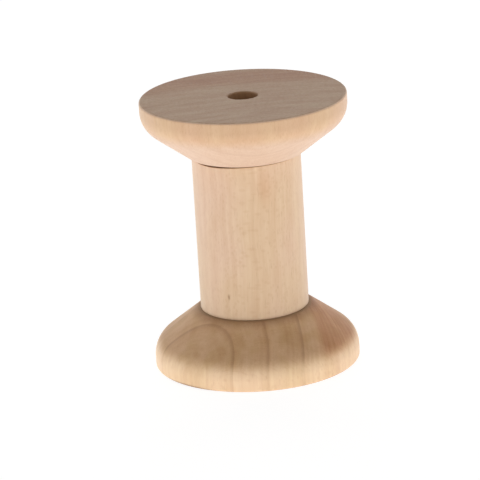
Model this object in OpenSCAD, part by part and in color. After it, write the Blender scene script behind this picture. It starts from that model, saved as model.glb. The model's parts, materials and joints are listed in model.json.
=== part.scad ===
// Wooden sewing spool: two turned flanges glued by spigots into the ends of a bored barrel.
// Millimetres, +Z along the axis, origin at the centre of the face that the spool stands on.

/* [Spool] */
// Height over both outer faces, two inches
spool_h = 50.8; // [44:0.1:80]
// Diameter of each flange, an inch and a half
flange_d = 38.1; // [32:0.1:60]
// Diameter of the barrel that the thread is wound on
barrel_d = 20.1; // [17:0.1:26]
// Diameter of the spindle hole through all three turned pieces
bore_d = 5.5; // [3:0.1:8]

/* [Flange] */
// Thickness of a flange from its outer face to the neck that meets the barrel
flange_t = 10.7; // [8:0.1:15]
// Height of the rim, from the outer face to where the shoulder starts to curve in
rim_h = 1.9; // [1:0.1:4]
// Radius of the shoulder that runs from the rim into the cone
shoulder_r = 4.8; // [2:0.1:6]
// How far the neck stands proud of the barrel, all round
neck_lip = 0.55; // [0.1:0.05:1.5]
// Radius that eases the corner between the outer face and the rim
arris_r = 0.4; // [0.1:0.05:0.9]
// Chamfer at the mouth of the spindle hole
bore_ease = 0.3; // [0.1:0.05:1]

/* [Glued joint] */
// Diameter of the socket drilled into each end of the barrel
socket_d = 12; // [10:0.1:14]
// Length of the spigot turned on each flange
spigot_l = 8; // [4:0.1:11]
// Gap around a spigot, which the glue fills
glue_gap = 0.15; // [0.05:0.01:0.3]
// Space left beyond a spigot's end, for the glue that it pushes ahead
end_gap = 0.5; // [0.1:0.1:1.5]
// Chamfer that leads a spigot into its socket
lead_in = 0.8; // [0.3:0.1:1.5]
// Chamfer at a socket's mouth
mouth_ease = 0.4; // [0.1:0.1:1]

/* [Hidden] */
$fn = 96;

flange_r = flange_d / 2;
barrel_r = barrel_d / 2;
bore_r = bore_d / 2;
neck_r = barrel_r + neck_lip;
barrel_l = spool_h - 2 * flange_t;

socket_r = socket_d / 2;
spigot_r = socket_r - glue_gap;
socket_l = spigot_l + end_gap;
glue_l = spigot_l - lead_in;
// How far the drill runs on past each end of a flange
drill_overrun = 1;

// The shoulder's arc starts upright at the rim and turns until it runs into the cone, which points at the neck.
// The cone starts a hair under the arc, so that the two cross at one clean edge instead of only touching.
blend_sink = 0.002;
blend_overlap = 5;
shoulder_x = flange_r - shoulder_r;
cone_reach = shoulder_r - blend_sink;
neck_dx = neck_r - shoulder_x;
neck_dz = flange_t - rim_h;
shoulder_turn = atan2(neck_dz, neck_dx) - acos(cone_reach / norm([neck_dx, neck_dz]));
cone_start = [shoulder_x, rim_h] + cone_reach * [cos(shoulder_turn), sin(shoulder_turn)];

// Slice of a disc between two angles less than 120 degrees apart
module sector(r, from, to) {
    reach = 2 * r;
    intersection() {
        circle(r = r);
        polygon([
            [0, 0],
            reach * [cos(from), sin(from)],
            reach * [cos(to), sin(to)]
        ]);
    }
}

// Half section of a flange before it is drilled, radius along X, with its outer face at zero height
module disc_section() {
    polygon([
        [0, 0],
        [flange_r - arris_r, 0],
        [flange_r - arris_r, arris_r],
        [flange_r, arris_r],
        [flange_r, rim_h],
        cone_start,
        [neck_r, flange_t],
        [0, flange_t]
    ]);
    translate([flange_r - arris_r, arris_r])
        sector(arris_r, -90, 0);
    translate([shoulder_x, rim_h])
        sector(shoulder_r, 0, shoulder_turn + blend_overlap);
}

// Half section of the spigot, from the neck face to its chamfered end
module spigot_section() {
    translate([0, flange_t])
        polygon([
            [0, 0],
            [spigot_r, 0],
            [spigot_r, glue_l],
            [spigot_r - lead_in, spigot_l],
            [0, spigot_l]
        ]);
}

// Half section of the drill's path through a flange, with the chamfer at its mouth
module bore_section() {
    polygon([
        [0, -drill_overrun],
        [bore_r + bore_ease + drill_overrun, -drill_overrun],
        [bore_r, bore_ease],
        [bore_r, flange_t + spigot_l + drill_overrun],
        [0, flange_t + spigot_l + drill_overrun]
    ]);
}

// One flange with its spigot upwards, as it comes off the lathe
module flange() {
    rotate_extrude()
        difference() {
            union() {
                disc_section();
                spigot_section();
            }
            bore_section();
        }
}

// The film of set glue around a spigot, from the neck face to the spigot's chamfer
module glue_film() {
    rotate_extrude()
        translate([spigot_r, flange_t])
            square([glue_gap, glue_l]);
}

// Turns a piece of the lower joint over, to the same place in the upper one
module turned_over() {
    translate([0, 0, spool_h])
        rotate([180, 0, 0])
            children();
}

module bottom_flange() {
    color([0.80, 0.67, 0.53])
        flange();
}

module top_flange() {
    color([0.80, 0.67, 0.53])
        turned_over()
            flange();
}

// Dowel bored for the spindle, with a socket in each end
module barrel() {
    color([0.86, 0.74, 0.61])
        translate([0, 0, flange_t])
            rotate_extrude()
                polygon([
                    [socket_r + mouth_ease, 0],
                    [barrel_r, 0],
                    [barrel_r, barrel_l],
                    [socket_r + mouth_ease, barrel_l],
                    [socket_r, barrel_l - mouth_ease],
                    [socket_r, barrel_l - socket_l],
                    [bore_r, barrel_l - socket_l],
                    [bore_r, socket_l],
                    [socket_r, socket_l],
                    [socket_r, mouth_ease]
                ]);
}

module bottom_glue() {
    color([0.93, 0.88, 0.74])
        glue_film();
}

module top_glue() {
    color([0.93, 0.88, 0.74])
        turned_over()
            glue_film();
}

bottom_flange();
barrel();
top_flange();
bottom_glue();
top_glue();
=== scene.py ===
# %% [markdown]
# # A turned wooden spool
# The real spool is three pieces of pale hardwood: a barrel, and two flanges that are turned on a lathe and
# each glued into it by a spigot. It is bare wood, sanded and never oiled, so nearly all that shows is the
# wood itself: how it was cut, which way its fibres run, and where end grain drinks in the light. This lesson
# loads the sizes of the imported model, turns the three pieces from their half sections, and then grows one
# piece of wood inside each of them.

# %% The frame
import json
import math

import bmesh
import bpy
from mathutils import Matrix, Vector, noise


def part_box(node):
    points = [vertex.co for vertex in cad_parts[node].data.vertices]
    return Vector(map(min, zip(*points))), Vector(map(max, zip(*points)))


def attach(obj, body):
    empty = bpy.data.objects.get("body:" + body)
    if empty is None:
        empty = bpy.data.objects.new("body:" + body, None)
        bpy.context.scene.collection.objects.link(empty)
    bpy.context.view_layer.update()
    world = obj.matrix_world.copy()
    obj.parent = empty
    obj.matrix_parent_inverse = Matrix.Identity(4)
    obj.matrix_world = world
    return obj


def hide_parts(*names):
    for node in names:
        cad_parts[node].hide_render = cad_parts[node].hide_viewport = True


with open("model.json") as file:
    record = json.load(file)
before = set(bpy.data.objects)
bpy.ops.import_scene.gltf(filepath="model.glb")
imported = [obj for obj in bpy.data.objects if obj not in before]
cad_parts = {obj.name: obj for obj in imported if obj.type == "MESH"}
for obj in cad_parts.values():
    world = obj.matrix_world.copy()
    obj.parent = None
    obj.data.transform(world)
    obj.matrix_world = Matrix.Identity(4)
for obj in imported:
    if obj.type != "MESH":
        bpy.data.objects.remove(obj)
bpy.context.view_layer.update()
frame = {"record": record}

# %% [markdown]
# ## Sizes
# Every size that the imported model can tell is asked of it, so the dressed pieces can't drift from it. A box
# gives a node's corners, and the record gives the bore. What a box can't tell, such as the radius of a
# shoulder, is named here as a real length.

# %% Sizes read from the frame
MM = 0.001

lower_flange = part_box("bottom_flange")
upper_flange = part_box("top_flange")
barrel_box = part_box("barrel")
glue_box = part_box("bottom_glue")

flange_r = lower_flange[1].x
spool_h = upper_flange[1].z
flange_t = barrel_box[0].z
spigot_top = lower_flange[1].z
barrel_r = barrel_box[1].x
barrel_top = barrel_box[1].z
socket_r = glue_box[1].x
glue_top = glue_box[1].z
bore_r = next(m["dims"]["r_mm"] for m in frame["record"]["mounts"] if m["name"] == "spindle_bore") * MM
print(f"flange {flange_r / MM:.2f}, barrel {barrel_r / MM:.2f}, bore {bore_r / MM:.2f} mm in radius")

# %% Sizes of the curves and the fits
rim_h = 1.9 * MM
shoulder_r = 4.8 * MM
arris_r = 0.4 * MM
mouth_r = 0.3 * MM
neck_lip = 0.55 * MM
neck_ease = 0.3 * MM
end_ease = 0.12 * MM

glue_gap = 0.15 * MM
lead_in = 0.8 * MM
end_gap = 0.5 * MM
socket_ease = 0.4 * MM

neck_r = barrel_r + neck_lip
spigot_r = socket_r - glue_gap
socket_l = spigot_top - flange_t + end_gap
print(f"neck {neck_r / MM:.2f}, spigot {spigot_r / MM:.2f} mm in radius, socket {socket_l / MM:.2f} mm deep")

# %% [markdown]
# ## Camera
# The spool is seen from a little above, with a long lens from about 60 cm, and the picture is turned a few
# degrees, so the spool leans to the left. A camera could be aimed with a constraint, but plain vectors keep
# the roll exact: the view direction gives the picture's own right and up, and the roll turns those two.

# %% Camera
PICTURE = 480
focal_px = 3298
camera_distance = 609.6 * MM
camera_rise = math.radians(17.34)
camera_roll = math.radians(3.4)
spool_at_px = (250.4, 227.8)

middle = Vector((0, 0, spool_h / 2))
ahead = Vector((0, math.cos(camera_rise), -math.sin(camera_rise)))
level_right = Vector((1, 0, 0))
level_up = level_right.cross(ahead)
picture_right = level_right * math.cos(camera_roll) - level_up * math.sin(camera_roll)
picture_up = level_right * math.sin(camera_roll) + level_up * math.cos(camera_roll)

lens = bpy.data.cameras.new("camera")
lens.sensor_width = 36
lens.lens = focal_px / PICTURE * lens.sensor_width
lens.clip_start = 0.01
lens.clip_end = 20
camera = bpy.data.objects.new("camera", lens)
bpy.context.scene.collection.objects.link(camera)
bpy.context.scene.camera = camera

# The spool stands a few pixels off the middle of the picture, so the camera looks a little past it
off_right = (spool_at_px[0] - PICTURE / 2) / focal_px * camera_distance
off_up = (PICTURE / 2 - spool_at_px[1]) / focal_px * camera_distance
camera.location = middle - ahead * camera_distance
sight = middle - picture_right * off_right - picture_up * off_up - camera.location
sight_back = -sight.normalized()
sight_right = picture_up.cross(sight_back).normalized()
sight_up = sight_back.cross(sight_right)
turn = Matrix((sight_right, sight_up, sight_back)).transposed()
camera.rotation_mode = "QUATERNION"
camera.rotation_quaternion = turn.to_quaternion()
print(f"lens {lens.lens:.1f} mm, {camera_distance * 100:.0f} cm from the spool")

# %% [markdown]
# ## Floor and light
# The light on the real spool comes from below and from the sides, as on a sheet of white acrylic with light
# coming through it. That is why the faces that look down are the brightest and the top face is the darkest.
# A light table could be made from a lamp under a glass sheet, but a sheet that glows by itself gives the
# same light with far less noise. Where the foot covers the sheet no light comes out, so the bore stays dark.
# The camera sees the sheet as plain white, with a little of the spool's shadow left in it.

# %% Helpers for colour and nodes
def linear(hex_colour):
    """The linear colour of an sRGB hex code, with full alpha."""
    parts = [int(hex_colour[i:i + 2], 16) / 255 for i in (0, 2, 4)]
    return [p / 12.92 if p <= 0.04045 else ((p + 0.055) / 1.055) ** 2.4 for p in parts] + [1.0]


def add(tree, kind, inputs=None, **settings):
    """Adds a node, with its settings by name, and its inputs by name or number as values or as links."""
    made = tree.nodes.new(kind)
    for name, value in settings.items():
        setattr(made, name, value)
    for socket, value in (inputs or {}).items():
        if isinstance(value, bpy.types.NodeSocket):
            tree.links.new(value, made.inputs[socket])
        else:
            made.inputs[socket].default_value = value
    return made


def new_material(name):
    """A material with an empty node tree, and the tree."""
    made = bpy.data.materials.new(name)
    made.use_nodes = True
    made.node_tree.nodes.clear()
    return made, made.node_tree


# %% Table
table_size = 6.0
table_below_spool = 0.02 * MM
table_glow = 1.0
covered_r = flange_r - 1 * MM
camera_white = 0.88
camera_shadow = 0.25

acrylic, tree = new_material("white_acrylic")
path = add(tree, "ShaderNodeLightPath")
place = add(tree, "ShaderNodeTexCoord")
from_middle = add(tree, "ShaderNodeVectorMath", {0: place.outputs["Object"]}, operation="LENGTH")
uncovered = add(tree, "ShaderNodeMath", {
    0: from_middle.outputs["Value"], 1: covered_r
}, operation="GREATER_THAN")
strength = add(tree, "ShaderNodeMath", {0: uncovered.outputs[0], 1: table_glow}, operation="MULTIPLY")
sheet = add(tree, "ShaderNodeBsdfDiffuse", {"Color": linear("EDEDED")})
glow = add(tree, "ShaderNodeEmission", {"Color": linear("FFFFFF"), "Strength": strength.outputs[0]})
lit_sheet = add(tree, "ShaderNodeAddShader", {0: sheet.outputs[0], 1: glow.outputs[0]})

white = add(tree, "ShaderNodeEmission", {"Color": linear("FFFFFF"), "Strength": camera_white})
shadow = add(tree, "ShaderNodeBsdfDiffuse", {"Color": [camera_shadow] * 3 + [1.0]})
seen = add(tree, "ShaderNodeAddShader", {0: white.outputs[0], 1: shadow.outputs[0]})
whole = add(tree, "ShaderNodeMixShader", {
    0: path.outputs["Is Camera Ray"], 1: lit_sheet.outputs[0], 2: seen.outputs[0]
})
add(tree, "ShaderNodeOutputMaterial", {"Surface": whole.outputs[0]})

mesh = bpy.data.meshes.new("table")
bm = bmesh.new()
bmesh.ops.create_grid(bm, x_segments=1, y_segments=1, size=table_size / 2)
bm.to_mesh(mesh)
bm.free()
mesh.materials.append(acrylic)
mesh.transform(Matrix.Translation((0, 0, -table_below_spool)))
table = bpy.data.objects.new("table", mesh)
bpy.context.scene.collection.objects.link(table)
print(f"table: {table_size} m across, dark within {covered_r / MM:.2f} mm of the axis")

# %% [markdown]
# The room above the table is a white tent. It is brighter around the horizon than overhead, so the world's
# strength falls from the one to the other with the height of the view direction. Three large soft lamps add
# what the tent doesn't give: a little light from each side, low down, and a little on the top from behind.

# %% World and lamps
horizon_glow, horizon_height = 0.66, 0.15
zenith_glow, zenith_height = 0.25, 0.75

world = bpy.data.worlds.new("studio")
world.use_nodes = True
bpy.context.scene.world = world
tree = world.node_tree
tree.nodes.clear()
path = add(tree, "ShaderNodeLightPath")
direction = add(tree, "ShaderNodeTexCoord")
parts = add(tree, "ShaderNodeSeparateXYZ", {0: direction.outputs["Generated"]})
tent = add(tree, "ShaderNodeMapRange", {
    "Value": parts.outputs["Z"], "From Min": horizon_height, "From Max": zenith_height,
    "To Min": horizon_glow, "To Max": zenith_glow
})
plain = add(tree, "ShaderNodeMath", {
    0: path.outputs["Is Camera Ray"], 1: path.outputs["Is Glossy Ray"]
}, operation="MAXIMUM")
room = add(tree, "ShaderNodeBackground", {"Color": linear("FFFFFF"), "Strength": tent.outputs[0]})
backdrop = add(tree, "ShaderNodeBackground", {"Color": linear("FFFFFF"), "Strength": 1.0})
mixed = add(tree, "ShaderNodeMixShader", {0: plain.outputs[0], 1: room.outputs[0], 2: backdrop.outputs[0]})
add(tree, "ShaderNodeOutputWorld", {"Surface": mixed.outputs[0]})


def softbox(name, place, size, power):
    """A square area lamp at a place, aimed at the middle of the spool."""
    lamp = bpy.data.lights.new(name, "AREA")
    lamp.shape = "SQUARE"
    lamp.size = size
    lamp.energy = power
    made = bpy.data.objects.new(name, lamp)
    made.location = place
    made.rotation_mode = "QUATERNION"
    made.rotation_quaternion = (middle - Vector(place)).to_track_quat("-Z", "Y")
    bpy.context.scene.collection.objects.link(made)
    print(f"{name}: {power} W, {size} m")


softbox("left_lamp", place=(-1.0, -0.35, 0.12), size=0.5, power=0.54)
softbox("right_lamp", place=(1.0, -0.35, 0.12), size=0.5, power=0.66)
softbox("back_lamp", place=(0.0, 0.8, 0.9), size=1.1, power=4.4)

bpy.context.scene.view_settings.view_transform = "Standard"

# %% [markdown]
# ## Turning a piece
# A lathe cuts a piece by running a tool along its half section, and the mesh is made the same way. A pen
# draws the half section in the XZ plane: a straight cut extrudes its last point, and a round cut spins it
# about the cut's centre. The closed line is then spun once about the axis. A Screw modifier could do that
# too, but the spin gives real geometry at once, and its seam is merged. A spin lists its faces in another
# order in each run of Blender, so they are sorted by their corners, and every run writes the same mesh.

# %% The pen and the lathe
TURN_STEPS = 240


class Pen:
    """Draws a closed half section, and spins it into a turned piece."""

    def __init__(self, x, z):
        self.bm = bmesh.new()
        self.first = self.bm.verts.new((x, 0, z))
        self.last = self.first

    def line(self, x, z, cuts=0):
        """A straight cut to a point, in a number of equal lengths."""
        start = self.last.co.copy()
        for step in range(1, cuts + 2):
            made = bmesh.ops.extrude_vert_indiv(self.bm, verts=[self.last])
            self.last = made["verts"][0]
            self.last.co = start.lerp(Vector((x, 0, z)), step / (cuts + 1))

    def arc(self, x, z, degrees, steps):
        """A round cut about a centre. A positive angle turns from the radius towards the axis's far end."""
        made = bmesh.ops.spin(
            self.bm, geom=[self.last], cent=(x, 0, z), axis=(0, -1, 0),
            angle=math.radians(degrees), steps=steps
        )
        self.last = next(v for v in made["geom_last"] if isinstance(v, bmesh.types.BMVert))

    def sort_faces(self):
        """Puts the edges and faces in one order, by their three lowest corners, which no two share."""
        self.bm.verts.index_update()
        total = len(self.bm.verts)

        def rank(part):
            lowest = sorted(vert.index for vert in part.verts)[:3]
            return sum(corner * total ** (2 - place) for place, corner in enumerate(lowest))

        self.bm.edges.sort(key=rank)
        self.bm.faces.sort(key=rank)

    def turned(self, name):
        """The closed section spun about the axis, as a smooth object."""
        self.bm.edges.new((self.last, self.first))
        bmesh.ops.spin(
            self.bm, geom=self.bm.verts[:] + self.bm.edges[:], cent=(0, 0, 0), axis=(0, 0, 1),
            angle=math.tau, steps=TURN_STEPS, use_merge=True
        )
        bmesh.ops.remove_doubles(self.bm, verts=self.bm.verts, dist=1e-7)
        bmesh.ops.recalc_face_normals(self.bm, faces=self.bm.faces)
        self.sort_faces()
        for face in self.bm.faces:
            face.smooth = True
        made = bpy.data.meshes.new(name)
        self.bm.to_mesh(made)
        self.bm.free()
        piece = bpy.data.objects.new(name, made)
        bpy.context.scene.collection.objects.link(piece)
        print(f"{name}: {len(made.polygons)} faces")
        return piece


# %% [markdown]
# ### Flange
# A flange is a short upright rim, a rounded shoulder, a straight cone that ends in a neck, and the spigot
# that is glued into the barrel. The shoulder leaves the rim upright and has to run into the cone without a
# corner, so the angle that it turns through follows from the rim, the radius and the neck. The neck's edge
# is eased by a small chamfer, as sandpaper leaves it. Both flanges are drawn with one pen path, and the
# upper one is turned over.

# %% Flange
neck_from_shoulder = Vector((neck_r - (flange_r - shoulder_r), flange_t - rim_h))
direction_to_neck = math.atan2(neck_from_shoulder.y, neck_from_shoulder.x)
shoulder_turn = math.degrees(direction_to_neck - math.acos(shoulder_r / neck_from_shoulder.length))
print(f"the shoulder turns through {shoulder_turn:.1f} degrees before the cone starts")


def flange(name):
    """A flange with its outer face down, drawn from the bore's mouth outwards and round to the spigot."""
    pen = Pen(bore_r, mouth_r)
    pen.arc(bore_r + mouth_r, mouth_r, degrees=90, steps=6)
    pen.line(flange_r - arris_r, 0, cuts=40)
    pen.arc(flange_r - arris_r, arris_r, degrees=90, steps=8)
    pen.line(flange_r, rim_h, cuts=4)
    pen.arc(flange_r - shoulder_r, rim_h, degrees=shoulder_turn, steps=24)
    cone = (Vector((neck_r, 0, flange_t)) - pen.last.co).normalized()
    neck_start = Vector((neck_r, 0, flange_t)) - cone * neck_ease
    pen.line(neck_start.x, neck_start.z, cuts=24)
    pen.line(neck_r - neck_ease, flange_t)
    pen.line(spigot_r, flange_t, cuts=4)
    pen.line(spigot_r, glue_top, cuts=6)
    pen.line(spigot_r - lead_in, spigot_top)
    pen.line(bore_r, spigot_top, cuts=2)
    return pen.turned(name)


# %% The bore's mouth and the two flanges
torn_r = bore_r + 2.5 * mouth_r
torn_h = 1.5 * mouth_r
tear_width = 0.9 * MM
tear_depth = 0.16 * MM


def tear_the_mouth(piece):
    """Moves the bore's mouth in and out by a hair, as a drill leaves it in end grain."""
    for vert in piece.data.vertices:
        from_axis = math.hypot(vert.co.x, vert.co.y)
        if vert.co.z < torn_h and from_axis < torn_r:
            torn = noise.noise(Vector((vert.co.x, vert.co.y, 0)) / tear_width) * tear_depth
            share = (torn_r - from_axis) / (torn_r - bore_r)
            vert.co.xy *= 1 + torn * share / from_axis


bottom_flange = flange("turned_bottom_flange")
top_flange = flange("turned_top_flange")
tear_the_mouth(bottom_flange)
tear_the_mouth(top_flange)
top_flange.data.transform(Matrix.Translation((0, 0, spool_h)) @ Matrix.Rotation(math.pi, 4, "X"))

# %% [markdown]
# ### Barrel
# The barrel is a dowel with a socket drilled into each end. Its upper end wasn't cut quite square: it has a
# low place at the left and front, so the joint gapes there and nearly closes elsewhere. A boolean cut could
# make that gap, but the points near the end are only drawn down a little. The draw fades out over a few
# millimetres, so that no face folds over.

# %% Barrel
barrel_pen = Pen(bore_r, flange_t + socket_l)
barrel_pen.line(socket_r, flange_t + socket_l, cuts=2)
barrel_pen.line(socket_r, flange_t + socket_ease, cuts=6)
barrel_pen.line(socket_r + socket_ease, flange_t)
barrel_pen.line(barrel_r - end_ease, flange_t, cuts=3)
barrel_pen.arc(barrel_r - end_ease, flange_t + end_ease, degrees=90, steps=4)
barrel_pen.line(barrel_r, barrel_top - end_ease, cuts=90)
barrel_pen.arc(barrel_r - end_ease, barrel_top - end_ease, degrees=90, steps=4)
barrel_pen.line(socket_r + socket_ease, barrel_top, cuts=3)
barrel_pen.line(socket_r, barrel_top - socket_ease)
barrel_pen.line(socket_r, barrel_top - socket_l, cuts=6)
barrel_pen.line(bore_r, barrel_top - socket_l, cuts=2)
barrel = barrel_pen.turned("turned_barrel")

# %% The gape in the upper joint
hair_gap = 0.12 * MM
low_place_depth = 0.24 * MM
low_place_direction = math.radians(229)
low_place_half = math.radians(30)
stretch = 4 * MM
for vert in barrel.data.vertices:
    share = 1 - (barrel_top - vert.co.z) / stretch
    if share > 0:
        off = math.remainder(math.atan2(vert.co.y, vert.co.x) - low_place_direction, math.tau)
        vert.co.z -= share * (hair_gap + low_place_depth * math.exp(-((off / low_place_half) ** 2)))
print(f"the upper joint gapes {hair_gap / MM:.2f} to {(hair_gap + low_place_depth) / MM:.2f} mm")

# %% [markdown]
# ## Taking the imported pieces' places
# Nothing on a spool moves, so all three pieces ride on its one body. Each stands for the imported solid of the
# same shape, which stays in the model for collision.

# %% Riding and replacing
for piece, node, slot in (
    (bottom_flange, "bottom_flange", "flange_wood"),
    (top_flange, "top_flange", "flange_wood"),
    (barrel, "barrel", "barrel_wood"),
):
    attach(piece, "root")
    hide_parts(node)
    print(f"{piece.name} stands for {node}, in {slot}")

# %% [markdown]
# ## Wood
# The spool is birch, a pale and even hardwood. Painting a picture of grain on it would never meet itself at
# the edges, so the wood is solid here too: every colour is worked out from a point's place inside the log
# that the piece was cut from. A log is a set of tubes around its pith, one for each year, and each piece has
# its own log, as the flanges and the barrel were cut from different sticks. The same growth lines then run
# over the cone and down the rim without a break, which is what the photograph shows on the lower flange.

# %% The log that each piece is cut from
# The pith's place is in millimetres from the spool's axis, and the lean of the trunk in radians. Rings are
# counted outwards from the first one, and the last line is the last ring that shows. The wood grows redder
# between the first two distances from the pith, and pale again between the last two. A strength is a share
# of a full tint.
LOGS = {
    "bottom_flange": {
        "pith": (-14.8, -16.2), "lean": (0.03, -0.02, 0), "redness": (25, 29, 34, 40),
        "ring_gap": 6.6, "first_ring": 10.2, "last_line": 2,
        "line": 0.3, "late": 0.16, "band": 0.3, "stain": 0.3, "olive": 0.42,
        # The lower flange's neck colour is painted shade: its flat ring lies in the barrel's shade
        "side": ("F5D7AE", "F9DBB7"), "cone": "D5B28B", "face": "C0A88C", "neck": "94724A",
    },
    "top_flange": {
        "pith": (9.0, -64.0), "lean": (0.02, 0.03, 0), "redness": (69, 74, 78, 83),
        "ring_gap": 4.7, "first_ring": 1.3, "last_line": 40,
        "line": 0.04, "late": 0.05, "band": 0.16, "stain": 0.45, "olive": 0.0,
        "side": ("DEBB94", "DCB592"), "cone": "DABDA5", "face": "C2A98D", "neck": "D8B898",
    },
    "barrel": {
        "pith": (-48.0, -9.0), "lean": (0.01, -0.015, 0), "redness": (90, 94, 97, 99),
        "ring_gap": 5.3, "first_ring": 0.7, "last_line": 40,
        "line": 0.05, "late": 0.05, "band": 0.22, "stain": 0.0, "olive": 0.0,
        "side": ("E2C5A3", "E4C5AA"), "cone": "B08E68", "face": "9C7850", "neck": "9C7850",
    },
}
# Object coordinates are in metres, and every pattern's size is in millimetres
IN_MM = 1 / MM


def place_in_log(tree, log):
    """A point's place in millimetres from the pith, wavering as fibres do, and its distance from it."""
    waver_width_mm, waver_reach_mm = 16, 1.5
    coords = add(tree, "ShaderNodeTexCoord")
    turned = add(tree, "ShaderNodeMapping", {
        "Vector": coords.outputs["Object"], "Scale": [IN_MM] * 3, "Rotation": log["lean"],
        "Location": (-log["pith"][0], -log["pith"][1], 0)
    })
    waver = add(tree, "ShaderNodeTexNoise", {
        "Vector": turned.outputs[0], "Scale": 1 / waver_width_mm, "Detail": 1.0
    })
    centred = add(tree, "ShaderNodeVectorMath", {
        0: waver.outputs["Color"], 1: (0.5, 0.5, 0.5)
    }, operation="SUBTRACT")
    drift = add(tree, "ShaderNodeVectorMath", {
        0: centred.outputs[0], "Scale": waver_reach_mm
    }, operation="SCALE")
    place = add(tree, "ShaderNodeVectorMath", {0: turned.outputs[0], 1: drift.outputs[0]})
    across = add(tree, "ShaderNodeVectorMath", {0: place.outputs[0], 1: (1, 1, 0)}, operation="MULTIPLY")
    radius = add(tree, "ShaderNodeVectorMath", {0: across.outputs[0]}, operation="LENGTH")
    return place.outputs[0], radius.outputs["Value"]


# %% [markdown]
# ### Growth lines
# A year of birch is nearly all one pale shade. It darkens a little before winter and ends in a line about
# half a millimetre wide, which comes on softly and stops short. So the pattern is the distance still to go
# to the end of the year, in millimetres, and that gives both. No two years have a line of one strength.

# %% Growth lines
def growth_lines(tree, radius, log):
    """Masks for the slow darkening of each year and for the thin line that ends it."""
    gap = log["ring_gap"]
    late_share, spring_mm = 0.4, 0.35
    line_starts_mm, line_full_mm, line_ends_mm = 0.8, 0.1, 0.2
    weakest_line = 0.5
    years = add(tree, "ShaderNodeMath", {
        0: radius, 1: 1 / gap, 2: -log["first_ring"] / gap
    }, operation="MULTIPLY_ADD")
    part = add(tree, "ShaderNodeMath", {0: years.outputs[0]}, operation="FRACT")
    to_go = add(tree, "ShaderNodeMath", {0: part.outputs[0], 1: -gap, 2: gap}, operation="MULTIPLY_ADD")
    since = add(tree, "ShaderNodeMath", {0: part.outputs[0], 1: gap}, operation="MULTIPLY")

    late = add(tree, "ShaderNodeMapRange", {
        "Value": to_go.outputs[0], "From Min": gap * late_share, "From Max": 0.0
    })
    spring = add(tree, "ShaderNodeMapRange", {
        "Value": since.outputs[0], "From Min": spring_mm, "From Max": 0.0
    })
    slow = add(tree, "ShaderNodeMath", {0: late.outputs[0], 1: spring.outputs[0]}, operation="MAXIMUM")

    before = add(tree, "ShaderNodeMapRange", {
        "Value": to_go.outputs[0], "From Min": line_starts_mm, "From Max": line_full_mm
    }, interpolation_type="SMOOTHSTEP")
    after = add(tree, "ShaderNodeMapRange", {
        "Value": since.outputs[0], "From Min": line_ends_mm, "From Max": 0.0
    }, interpolation_type="SMOOTHSTEP")
    line = add(tree, "ShaderNodeMath", {0: before.outputs[0], 1: after.outputs[0]}, operation="MAXIMUM")

    year = add(tree, "ShaderNodeMath", {0: years.outputs[0]}, operation="ROUND")
    luck = add(tree, "ShaderNodeTexWhiteNoise", {"W": year.outputs[0]}, noise_dimensions="1D")
    strength = add(tree, "ShaderNodeMapRange", {
        "Value": luck.outputs["Value"], "To Min": weakest_line, "To Max": 1.0
    })
    half_count = log["last_line"] / 2
    shows = add(tree, "ShaderNodeMath", {
        0: year.outputs[0], 1: half_count, 2: half_count + 0.5
    }, operation="COMPARE")
    kept = add(tree, "ShaderNodeMath", {0: strength.outputs[0], 1: shows.outputs[0]}, operation="MULTIPLY")
    uneven = add(tree, "ShaderNodeMath", {0: line.outputs[0], 1: kept.outputs[0]}, operation="MULTIPLY")
    return slow.outputs[0], uneven.outputs[0]


# %% [markdown]
# ### Grain along the trunk
# Wood is a bundle of tubes along the trunk. Noise stretched along the trunk gives streaks on a side and
# specks on an end from one pattern, as in the real thing. Birch fibres are far too thin to show, so they are
# drawn in bundles 0.2 mm wide. The same noise at larger sizes gives the specks of the outer faces, the
# streaks and the mottling, the olive patches of the lower flange, and the slow change of hue in a stick.

# %% Grain along the trunk
# Low and high are the part of the noise's range that a mask is stretched over
GRAIN = {
    "fibre": {"across_mm": 0.2, "along_mm": 7.0, "detail": 2.0, "low": 0.35, "high": 0.68},
    "speck": {"across_mm": 0.5, "along_mm": 3.0, "detail": 1.0, "low": 0.36, "high": 0.66},
    "streak": {"across_mm": 0.6, "along_mm": 22.0, "detail": 2.0, "low": 0.36, "high": 0.68},
    "mottle": {"across_mm": 1.8, "along_mm": 3.6, "detail": 2.0, "low": 0.4, "high": 0.68},
    "olive": {"across_mm": 3.2, "along_mm": 9.0, "detail": 1.0, "low": 0.42, "high": 0.62},
    "hue": {"across_mm": 9.0, "along_mm": 26.0, "detail": 1.0, "low": 0.38, "high": 0.62},
}
GRAIN_ROUGHNESS = 0.6


def stretched_noise(tree, place, across_mm, along_mm, detail, low, high):
    """A mask from noise of one width across the fibres and one length along them, over part of its range."""
    scaled = add(tree, "ShaderNodeMapping", {
        "Vector": place, "Scale": (1 / across_mm, 1 / across_mm, 1 / along_mm)
    })
    cloud = add(tree, "ShaderNodeTexNoise", {
        "Vector": scaled.outputs[0], "Scale": 1.0, "Detail": detail, "Roughness": GRAIN_ROUGHNESS
    })
    mask = add(tree, "ShaderNodeMapRange", {"Value": cloud.outputs[0], "From Min": low, "From Max": high})
    return mask.outputs[0]


def pores(tree, place):
    """A mask for the open pores, short dark dashes along the fibres."""
    apart_mm, long_mm = 0.55, 3.2
    pore_edge, pore_heart = 0.26, 0.12
    scaled = add(tree, "ShaderNodeMapping", {
        "Vector": place, "Scale": (1 / apart_mm, 1 / apart_mm, 1 / long_mm)
    })
    cells = add(tree, "ShaderNodeTexVoronoi", {
        "Vector": scaled.outputs[0], "Scale": 1.0, "Randomness": 1.0
    })
    mask = add(tree, "ShaderNodeMapRange", {
        "Value": cells.outputs["Distance"], "From Min": pore_edge, "From Max": pore_heart
    }, interpolation_type="SMOOTHSTEP")
    return mask.outputs[0]


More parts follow.
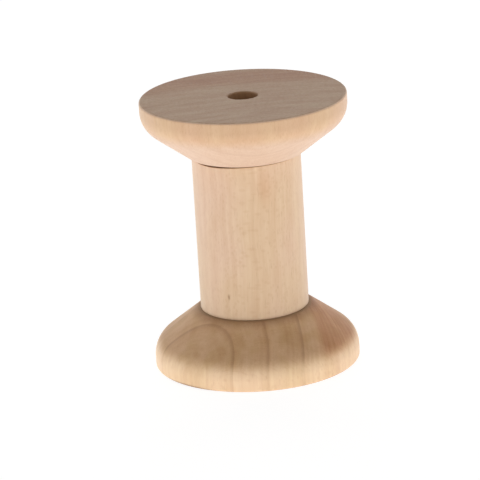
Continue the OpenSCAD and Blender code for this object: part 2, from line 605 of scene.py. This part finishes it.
# %% [markdown]
# ### Grain around the pith
# Rays run from the pith outwards: they are short flecks on the barrel's front, which was cut along a radius,
# and hair lines on the end grain. Bands of colour follow the growth lines instead. Both are easy to draw
# once a point's place is given as millimetres outwards, around the pith and along the trunk, because a ray
# or a band is then a plain stretched cell.

# %% Grain around the pith
BANDS = {
    "band": {"outwards_mm": 0.9, "around_mm": 22.0},
    "red_line": {"outwards_mm": 0.5, "around_mm": 9.0},
    "stain": {"outwards_mm": 2.2, "around_mm": 9.0},
}


def round_the_pith(tree, place, radius, log):
    """Millimetres outwards from the pith, around it and along the trunk, as one vector."""
    parts = add(tree, "ShaderNodeSeparateXYZ", {0: place})
    angle = add(tree, "ShaderNodeMath", {0: parts.outputs["Y"], 1: parts.outputs["X"]}, operation="ARCTAN2")
    around = add(tree, "ShaderNodeMath", {
        0: angle.outputs[0], 1: math.hypot(*log["pith"])
    }, operation="MULTIPLY")
    joined = add(tree, "ShaderNodeCombineXYZ", {0: radius, 1: around.outputs[0], 2: parts.outputs["Z"]})
    return joined.outputs[0]


def rays(tree, round_place):
    """A mask for the rays, thin sheets that stand on the fibres and point at the pith."""
    outwards_mm, around_mm, along_mm = 4.0, 0.28, 1.0
    ray_edge, ray_heart = 0.42, 0.2
    scaled = add(tree, "ShaderNodeMapping", {
        "Vector": round_place, "Scale": (1 / outwards_mm, 1 / around_mm, 1 / along_mm)
    })
    cells = add(tree, "ShaderNodeTexVoronoi", {"Vector": scaled.outputs[0], "Scale": 1.0})
    mask = add(tree, "ShaderNodeMapRange", {
        "Value": cells.outputs["Distance"], "From Min": ray_edge, "From Max": ray_heart
    }, interpolation_type="SMOOTHSTEP")
    return mask.outputs[0]


def bands(tree, round_place, outwards_mm, around_mm):
    """A mask for streaks that follow the growth lines, from their width outwards and their length around."""
    along_mm = 2 * around_mm
    low, high = 0.34, 0.7
    scaled = add(tree, "ShaderNodeMapping", {
        "Vector": round_place, "Scale": (1 / outwards_mm, 1 / around_mm, 1 / along_mm)
    })
    cloud = add(tree, "ShaderNodeTexNoise", {
        "Vector": scaled.outputs[0], "Scale": 1.0, "Detail": 3.0, "Roughness": GRAIN_ROUGHNESS
    })
    mask = add(tree, "ShaderNodeMapRange", {"Value": cloud.outputs[0], "From Min": low, "From Max": high})
    return mask.outputs[0]


def redder_wood(tree, radius, log):
    """A mask for the redder wood of a log, which lies between two distances from the pith."""
    starts, full_from, full_to, ends = log["redness"]
    rising = add(tree, "ShaderNodeMapRange", {
        "Value": radius, "From Min": starts, "From Max": full_from
    }, interpolation_type="SMOOTHSTEP")
    falling = add(tree, "ShaderNodeMapRange", {
        "Value": radius, "From Min": ends, "From Max": full_to
    }, interpolation_type="SMOOTHSTEP")
    mask = add(tree, "ShaderNodeMath", {0: rising.outputs[0], 1: falling.outputs[0]}, operation="MINIMUM")
    return mask.outputs[0]


# %% [markdown]
# ### End grain
# Where the cut crosses the fibres their open ends drink in light, so the surface turns darker and warmer.
# How much it does so follows from how far the surface tips from the fibres, which the height of its normal
# gives. Each flange's outer face is dead across the grain. It has also gone grey from handling and dust. The
# flat ring that the neck leaves around the barrel is the other way up, so the same normal picks it out; on the
# lower flange that ring is given painted shade.

# %% End grain
# A mask starts at the first height of the normal and is full at the second
SLANT = (0.26, 0.74)
OUTER_FACE = (0.72, 0.96)
NECK_RING = (-0.9, -0.99)


def tipped(tree, normal_z, start, full):
    """A mask that grows as the normal's height goes from one value to another."""
    mask = add(tree, "ShaderNodeMapRange", {
        "Value": normal_z, "From Min": start, "From Max": full
    }, interpolation_type="SMOOTHSTEP")
    return mask.outputs[0]


def cut_across_the_fibres(tree, outer_face_is_up):
    """Masks for the slanting cuts, for the outer face and for the flat ring at the neck."""
    coords = add(tree, "ShaderNodeTexCoord")
    normal = add(tree, "ShaderNodeSeparateXYZ", {0: coords.outputs["Normal"]})
    height = add(tree, "ShaderNodeMath", {0: normal.outputs["Z"]}, operation="ABSOLUTE")
    outwards = add(tree, "ShaderNodeMath", {
        0: normal.outputs["Z"], 1: 1.0 if outer_face_is_up else -1.0
    }, operation="MULTIPLY")
    slant = tipped(tree, height.outputs[0], *SLANT)
    face = tipped(tree, outwards.outputs[0], *OUTER_FACE)
    neck_ring = tipped(tree, outwards.outputs[0], *NECK_RING)
    return slant, face, neck_ring


# %% [markdown]
# ### Places on the spool
# Grain belongs to the log, but handling, other marks and painted shade belong to the spool, so their masks are
# drawn in the spool's own millimetres: a soft spot, a soft disc around the axis, or a soft line at one height.

# %% Places on the spool
def spot(tree, middle_mm, half_mm, softness):
    """A mask for one soft spot on the surface, from its middle and its half sizes in millimetres."""
    coords = add(tree, "ShaderNodeTexCoord")
    near = add(tree, "ShaderNodeMapping", {
        "Vector": coords.outputs["Object"], "Scale": [IN_MM / h for h in half_mm],
        "Location": [-m / h for m, h in zip(middle_mm, half_mm)]
    })
    distance = add(tree, "ShaderNodeVectorMath", {0: near.outputs[0]}, operation="LENGTH")
    mask = add(tree, "ShaderNodeMapRange", {
        "Value": distance.outputs["Value"], "From Min": 1.0, "From Max": 1.0 - softness
    }, interpolation_type="SMOOTHSTEP")
    return mask.outputs[0]


def near_axis(tree, edge_mm, full_mm):
    """A mask that grows as the distance from the spool's own axis falls from one value to another."""
    coords = add(tree, "ShaderNodeTexCoord")
    across = add(tree, "ShaderNodeMapping", {
        "Vector": coords.outputs["Object"], "Scale": (IN_MM, IN_MM, 0)
    })
    distance = add(tree, "ShaderNodeVectorMath", {0: across.outputs[0]}, operation="LENGTH")
    mask = add(tree, "ShaderNodeMapRange", {
        "Value": distance.outputs["Value"], "From Min": edge_mm, "From Max": full_mm
    }, interpolation_type="SMOOTHSTEP")
    return mask.outputs[0]


def near_height(tree, height_mm, reach_mm):
    """A mask for a soft line all round the spool at one height."""
    coords = add(tree, "ShaderNodeTexCoord")
    parts = add(tree, "ShaderNodeSeparateXYZ", {0: coords.outputs["Object"]})
    off = add(tree, "ShaderNodeMath", {
        0: parts.outputs["Z"], 1: IN_MM, 2: -height_mm
    }, operation="MULTIPLY_ADD")
    distance = add(tree, "ShaderNodeMath", {0: off.outputs[0]}, operation="ABSOLUTE")
    mask = add(tree, "ShaderNodeMapRange", {
        "Value": distance.outputs[0], "From Min": reach_mm, "From Max": 0.0
    })
    return mask.outputs[0]


# %% [markdown]
# ### Putting the wood together
# The bare colour is mixed from the side, the cone and the outer face. Each mark of the grain is then laid
# over it as a tint that multiplies, from a list, so that it can be read off as its mask, its tint and its
# strength. Lines and fibres are strong where the cut slants across them and faint along a side, so some
# masks are kept to the slant or to the outer face. The neck's ring comes last, in a colour of its own: on
# the lower flange it is painted dark, as painted shade from the barrel, and on the upper one it is pale.

# %% The parts of the mixture
def kept_to(tree, mask, where, elsewhere=0.0, there=1.0):
    """A mask at one strength where another mask is full, and at another strength where it is empty."""
    weight = add(tree, "ShaderNodeMapRange", {"Value": where, "To Min": elsewhere, "To Max": there})
    weakened = add(tree, "ShaderNodeMath", {0: mask, 1: weight.outputs[0]}, operation="MULTIPLY")
    return weakened.outputs[0]


def bare_colour(tree, log, hue, slant, face):
    """The wood's colour before any mark: the side in two hues, the slanting cone and the outer face."""
    one_hue, other_hue = linear(log["side"][0]), linear(log["side"][1])
    cone, outer_face = linear(log["cone"]), linear(log["face"])
    side = add(tree, "ShaderNodeMix", {0: hue, 6: one_hue, 7: other_hue}, data_type="RGBA")
    body = add(tree, "ShaderNodeMix", {0: slant, 6: side.outputs[2], 7: cone}, data_type="RGBA")
    whole = add(tree, "ShaderNodeMix", {0: face, 6: body.outputs[2], 7: outer_face}, data_type="RGBA")
    return whole.outputs[2]


def laid_over(tree, colour, mask, tint, strength):
    """A colour with a tint multiplied into it, as far as its mask and its strength go."""
    share = add(tree, "ShaderNodeMath", {0: mask, 1: strength}, operation="MULTIPLY")
    layer = add(tree, "ShaderNodeMix", {
        0: share.outputs[0], 6: colour, 7: linear(tint)
    }, data_type="RGBA", blend_type="MULTIPLY")
    return layer.outputs[2]


def sanded_surface(tree, colour, slant, ray, fibre, pore, line):
    """A dull surface that gleams a little along the rays, with fibres, pores and lines sunk into it."""
    side_roughness, end_roughness, ray_gloss = 0.56, 0.72, 0.1
    fibre_depth, line_depth, deepest = 0.35, 0.4, 0.03 * MM
    roughness = add(tree, "ShaderNodeMapRange", {
        "Value": slant, "To Min": side_roughness, "To Max": end_roughness
    })
    smoother = add(tree, "ShaderNodeMath", {
        0: ray, 1: -ray_gloss, 2: roughness.outputs[0]
    }, operation="MULTIPLY_ADD")
    dips = add(tree, "ShaderNodeMath", {0: fibre, 1: fibre_depth, 2: pore}, operation="MULTIPLY_ADD")
    dips_and_lines = add(tree, "ShaderNodeMath", {
        0: line, 1: line_depth, 2: dips.outputs[0]
    }, operation="MULTIPLY_ADD")
    relief = add(tree, "ShaderNodeBump", {
        "Height": dips_and_lines.outputs[0], "Distance": deepest, "Strength": 0.6
    }, invert=True)
    surface = add(tree, "ShaderNodeBsdfPrincipled", {
        "Base Color": colour, "Roughness": smoother.outputs[0], "IOR": 1.5, "Normal": relief.outputs[0],
        "Sheen Weight": 0.15, "Sheen Roughness": 0.5
    })
    return surface.outputs[0]


# %% Wood of one piece
def turned_birch(piece_name, outer_face_is_up, marks):
    """Bare birch, turned and sanded: dull, with a faint gloss along the rays and rough open end grain."""
    log = LOGS[piece_name]
    made, tree = new_material("turned_birch_" + piece_name)
    place, radius = place_in_log(tree, log)
    round_place = round_the_pith(tree, place, radius, log)
    late, line = growth_lines(tree, radius, log)
    grain = {name: stretched_noise(tree, place, **sizes) for name, sizes in GRAIN.items()}
    along_rings = {name: bands(tree, round_place, **sizes) for name, sizes in BANDS.items()}
    pore = pores(tree, place)
    ray = rays(tree, round_place)
    slant, face, neck_ring = cut_across_the_fibres(tree, outer_face_is_up)
    redder = kept_to(tree, redder_wood(tree, radius, log), slant, elsewhere=0.12)

    layers = [
        (late, "D9BFA2", log["late"]),
        (kept_to(tree, line, slant, elsewhere=0.2), "A07C5A", log["line"]),
        (kept_to(tree, grain["fibre"], slant, elsewhere=0.35), "E4CFB8", 0.22),
        (kept_to(tree, along_rings["band"], face, elsewhere=log["band"], there=0.4), "DCC0A6", 1.0),
        (grain["streak"], "E4CBB0", 0.11),
        (grain["mottle"], "E6D0BC", 0.16),
        (kept_to(tree, grain["speck"], face), "DCC8B4", 0.4),
        (ray, "DDC3A6", 0.15),
        (pore, "B08E6E", 0.09),
        (redder, "E8BC94", 0.4),
        (kept_to(tree, along_rings["red_line"], redder), "D29A70", 0.45),
        (kept_to(tree, along_rings["stain"], face), "DDB5A2", log["stain"]),
        (kept_to(tree, grain["olive"], slant), "E9E2C2", log["olive"]),
    ]
    colour = bare_colour(tree, log, grain["hue"], slant, face)
    for mask, tint, strength in layers + [(make(tree), tint, strength) for make, tint, strength in marks]:
        colour = laid_over(tree, colour, mask, tint, strength)
    # On the lower flange the neck's ring is painted dark here, as painted shade from the barrel
    finished = add(tree, "ShaderNodeMix", {
        0: neck_ring, 6: colour, 7: linear(log["neck"])
    }, data_type="RGBA").outputs[2]

    surface = sanded_surface(tree, finished, slant, ray, grain["fibre"], pore, line)
    add(tree, "ShaderNodeOutputMaterial", {"Surface": surface})
    print(f"{made.name}: {len(tree.nodes)} nodes")
    return made


# %% [markdown]
# ### Marks
# The real spool has a few marks that no pattern gives, and some shade is painted on in the same way. Painted
# shade darkens the corner around the lower neck, the barrel just above its foot and the bore's wall, and a
# painted shadow lies on the lower flange's bottom edge at the left front. The lower cone is greyer where it
# was handled, and the barrel has a small brown fleck low down and a warm patch high up. Each mark is a place,
# a tint and a strength, laid over the grain in the same way.

# %% Marks of the lower flange and its wood
# Painted shade: the bore's wall is darkened, as shade falls deep in the hole
bore_painted_shade = (lambda tree: near_axis(tree, edge_mm=3.0, full_mm=2.8), "A88E62", 0.75)
# Painted shade: the lower cone darkens in the corner around the neck, where the barrel shades it
neck_corner_painted_shade = (lambda tree: near_axis(tree, edge_mm=12.3, full_mm=10.6), "A08058", 0.5)
# Painted shadow: the lower flange's bottom edge darkens at the left front, as a shadow at the foot
painted_foot_shadow = (lambda tree: spot(tree, (-13.2, -13.7, 0.0), (8.5, 8.5, 0.55), softness=0.6), "9C8470", 0.8)
handled_patch = (lambda tree: spot(tree, (6.5, -13.0, 7.6), (5.0, 4.5, 4.0), softness=1.0), "DCCFB2", 0.45)

bottom_marks = [neck_corner_painted_shade, bore_painted_shade, painted_foot_shadow, handled_patch]
bottom_wood = turned_birch("bottom_flange", outer_face_is_up=False, marks=bottom_marks)
bottom_flange.data.materials.append(bottom_wood)

# %% Marks of the upper flange and its wood
# The upper flange takes only the painted shade of the bore
top_wood = turned_birch("top_flange", outer_face_is_up=True, marks=[bore_painted_shade])
top_flange.data.materials.append(top_wood)

# %% Marks of the barrel and its wood
brown_fleck = (lambda tree: spot(tree, (-4.66, -8.89, 15.1), (0.3, 0.7, 0.85), softness=0.9), "A27C48", 0.6)
warm_patch = (lambda tree: spot(tree, (3.0, -9.5, 35.5), (2.8, 3.0, 5.2), softness=1.0), "E6C39A", 0.28)
# Painted shade: a soft dark line round the barrel just above its foot, where the lower joint shades it
barrel_foot_painted_shade = (lambda tree: near_height(tree, height_mm=10.7, reach_mm=0.5), "A5845F", 0.25)

barrel_marks = [bore_painted_shade, brown_fleck, warm_patch, barrel_foot_painted_shade]
barrel_wood = turned_birch("barrel", outer_face_is_up=True, marks=barrel_marks)
barrel.data.materials.append(barrel_wood)

# %% [markdown]
# ## Glue
# The film of glue in each joint is sealed inside the barrel. White wood glue sets to a yellowish, half clear
# plastic, a little wavy where the clamped joint squeezed it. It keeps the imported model's own mesh.

# %% Glue
ripple_mm = 1.5
ripple_depth = 0.05 * MM
thin_glue = "EFE3BC"
thick_glue = "D9C48F"

set_glue, tree = new_material("set_wood_glue")
coords = add(tree, "ShaderNodeTexCoord")
ripple = add(tree, "ShaderNodeTexNoise", {
    "Vector": coords.outputs["Object"], "Scale": IN_MM / ripple_mm, "Detail": 2.0
})
thick_or_thin = add(tree, "ShaderNodeMix", {
    0: ripple.outputs[0], 6: linear(thin_glue), 7: linear(thick_glue)
}, data_type="RGBA")
relief = add(tree, "ShaderNodeBump", {
    "Height": ripple.outputs[0], "Distance": ripple_depth, "Strength": 0.5
})
surface = add(tree, "ShaderNodeBsdfPrincipled", {
    "Base Color": thick_or_thin.outputs[2], "Roughness": 0.35, "IOR": 1.46, "Normal": relief.outputs[0]
})
add(tree, "ShaderNodeOutputMaterial", {"Surface": surface.outputs[0]})
for node in ("bottom_glue", "top_glue"):
    for film_slot in bpy.data.objects[node].material_slots:
        film_slot.material = set_glue
print(f"{set_glue.name}: {len(tree.nodes)} nodes")
